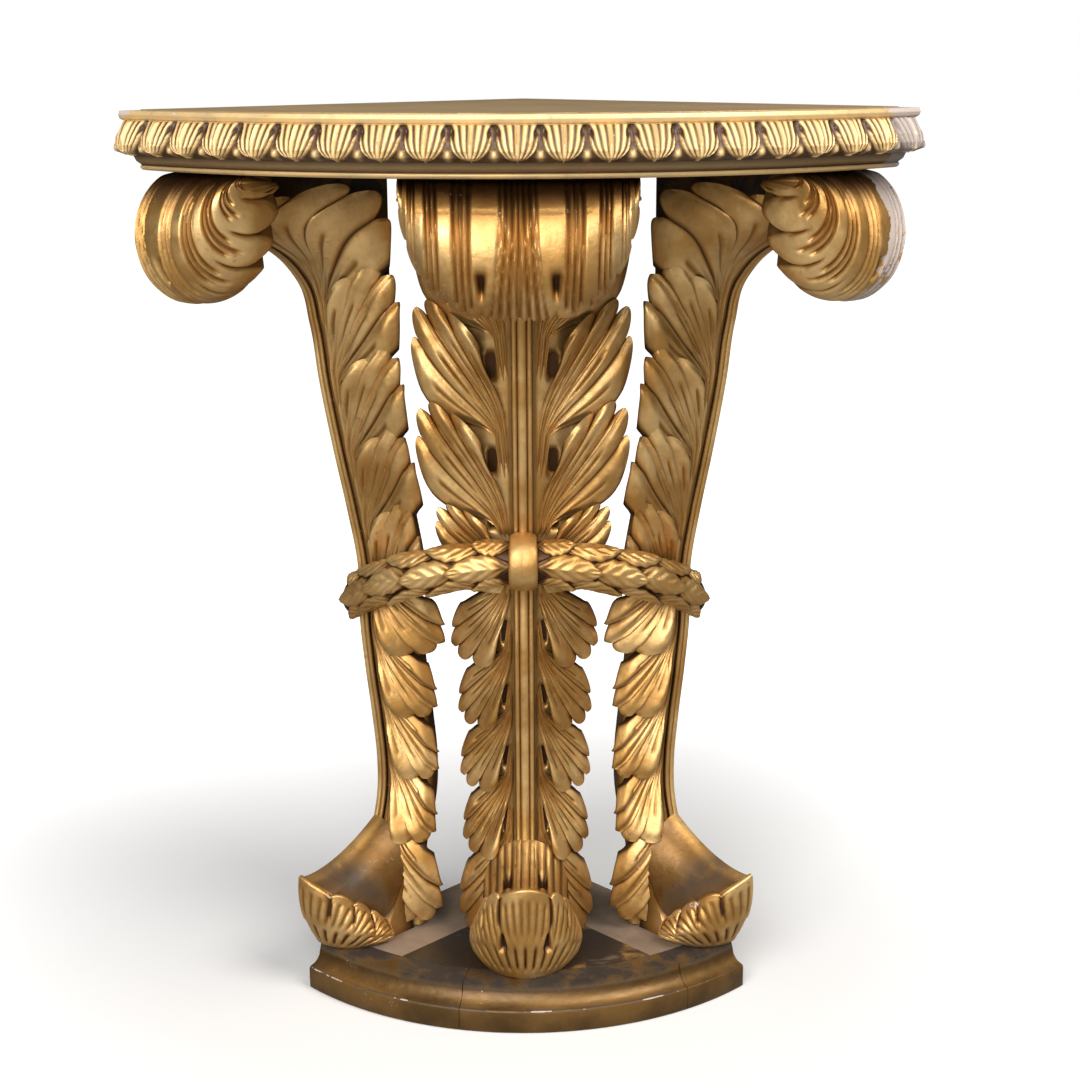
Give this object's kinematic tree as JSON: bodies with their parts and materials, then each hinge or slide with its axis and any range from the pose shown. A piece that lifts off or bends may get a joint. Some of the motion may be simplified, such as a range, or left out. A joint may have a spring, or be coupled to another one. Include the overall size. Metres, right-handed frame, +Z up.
{
  "type": "corner console table",
  "caption": "Quadrant corner console table of carved giltwood: a leaf-edged top on scrolled acanthus legs that a laurel wreath ties together, on a moulded quadrant plinth.",
  "frame": {"origin": "middle of the bounding box, on the floor under the plinth", "axes": "+Z up, -Y out of the room corner towards the viewer, +Y into the corner, +X to the viewer's right"},
  "size_m": [0.6936, 0.495, 0.9],
  "materials": {
    "gilt_carving": "carved softwood, gesso, bole and worn gold leaf",
    "gilt_moulding": "carved moulding in paler worn gold leaf",
    "gilt_top": "flat boards, toned gold",
    "dark_bole": "dark bole over softwood, worn to bare wood at the back",
    "softwood": "bare softwood",
    "screw_steel": "plain wood screw"
  },
  "bodies": {
    "root": {"centre_bearer": "softwood", "corner_block": "softwood", "curl_dowel_centre": "softwood", "curl_dowel_left": "softwood", "curl_dowel_right": "softwood", "foot_dowel_centre": "softwood", "foot_dowel_left": "softwood", "foot_dowel_right": "softwood", "frieze_rail_centre": "gilt_moulding", "frieze_rail_left": "gilt_moulding", "frieze_rail_right": "gilt_moulding", "head_dowel_centre": "softwood", "head_dowel_left": "softwood", "head_dowel_right": "softwood", "leaf_moulding_centre": "gilt_moulding", "leaf_moulding_left": "gilt_moulding", "leaf_moulding_right": "gilt_moulding", "leg_centre_curl": "gilt_carving", "leg_centre_foot": "gilt_carving", "leg_centre_lower_leaf_left": "gilt_carving", "leg_centre_lower_leaf_right": "gilt_carving", "leg_centre_post": "gilt_carving", "leg_centre_upper_leaf_left": "gilt_carving", "leg_centre_upper_leaf_right": "gilt_carving", "leg_left_curl": "gilt_carving", "leg_left_foot": "gilt_carving", "leg_left_lower_leaf": "gilt_carving", "leg_left_post": "gilt_carving", "leg_left_upper_leaf": "gilt_carving", "leg_right_curl": "gilt_carving", "leg_right_foot": "gilt_carving", "leg_right_lower_leaf": "gilt_carving", "leg_right_post": "gilt_carving", "leg_right_upper_leaf": "gilt_carving", "plinth_board_front": "dark_bole", "plinth_board_left": "dark_bole", "plinth_board_right": "dark_bole", "plinth_edge_centre": "gilt_carving", "plinth_edge_left": "gilt_carving", "plinth_edge_right": "gilt_carving", "plinth_screw_centre": "screw_steel", "plinth_screw_left": "screw_steel", "plinth_screw_right": "screw_steel", "top_board_back": "gilt_top", "top_board_front": "gilt_top", "top_board_middle": "gilt_top", "top_tongue_back": "softwood", "top_tongue_front": "softwood", "wall_rail_left": "softwood", "wall_rail_right": "softwood", "wreath_clasp": "gilt_carving", "wreath_left": "gilt_carving", "wreath_pin_centre": "softwood", "wreath_pin_left": "softwood", "wreath_pin_right": "softwood", "wreath_right": "gilt_carving"}
  },
  "joints": []
}
